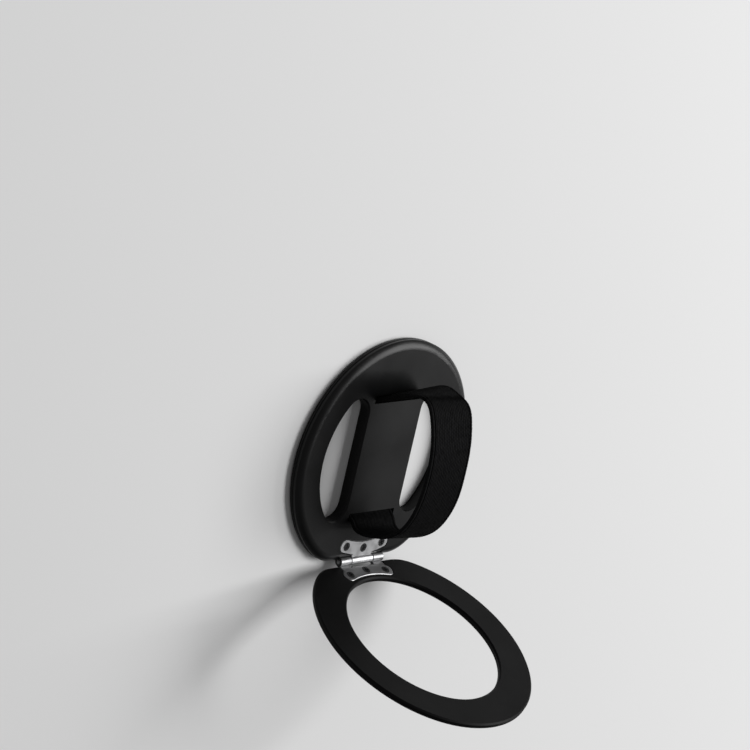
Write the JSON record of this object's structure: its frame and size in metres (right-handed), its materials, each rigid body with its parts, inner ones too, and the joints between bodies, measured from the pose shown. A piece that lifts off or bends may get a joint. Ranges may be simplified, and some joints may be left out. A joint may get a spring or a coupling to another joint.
{
  "type": "phone ring holder",
  "caption": "Magnetic ring grip for the back of a handset: flat base ring with a bridge, an elastic finger strap, and a flat stand ring on a small steel hinge.",
  "frame": {"origin": "middle of the base ring, on the grip face that meets the handset", "axes": "+Z out of the base towards the finger strap, +Y from the hinge towards the far side of the ring, +X across the strap"},
  "size_m": [0.056, 0.0748, 0.0521],
  "materials": {
    "pad_black": "matt silicone",
    "shell_black": "satin moulded",
    "cover_black": "satin moulded",
    "yoke_steel": "plain rolled",
    "strap_webbing": "woven elastic",
    "hinge_steel": "satin with polished edges",
    "pin_steel": "dark ground",
    "screw_black": "black oxide",
    "stand_black": "satin black coat",
    "magnet_nickel": "nickel plated"
  },
  "bodies": {
    "base": {"grip_pad": "pad_black", "lower_shell": "shell_black", "top_cover": "cover_black", "steel_yoke": "yoke_steel", "strap": "strap_webbing", "base_leaf": "hinge_steel", "base_leaf_screws": "screw_black", "magnet_01": "magnet_nickel", "magnet_02": "magnet_nickel", "magnet_03": "magnet_nickel", "magnet_04": "magnet_nickel", "magnet_05": "magnet_nickel", "magnet_06": "magnet_nickel", "magnet_07": "magnet_nickel", "magnet_08": "magnet_nickel", "magnet_09": "magnet_nickel", "magnet_10": "magnet_nickel", "magnet_11": "magnet_nickel", "magnet_12": "magnet_nickel", "magnet_13": "magnet_nickel", "magnet_14": "magnet_nickel", "magnet_15": "magnet_nickel", "magnet_16": "magnet_nickel"},
    "stand": {"stand_ring": "stand_black", "stand_leaf": "hinge_steel", "stand_leaf_screws": "screw_black", "hinge_pin": "pin_steel"}
  },
  "joints": [
    {"name": "stand_hinge", "type": "hinge", "parent": "base", "child": "stand", "pos_m": [0, -0.0255, 0.0026], "axis": [1, 0, 0], "range_deg": [-111.4, 68.6], "deforming": ["strap"]}
  ]
}
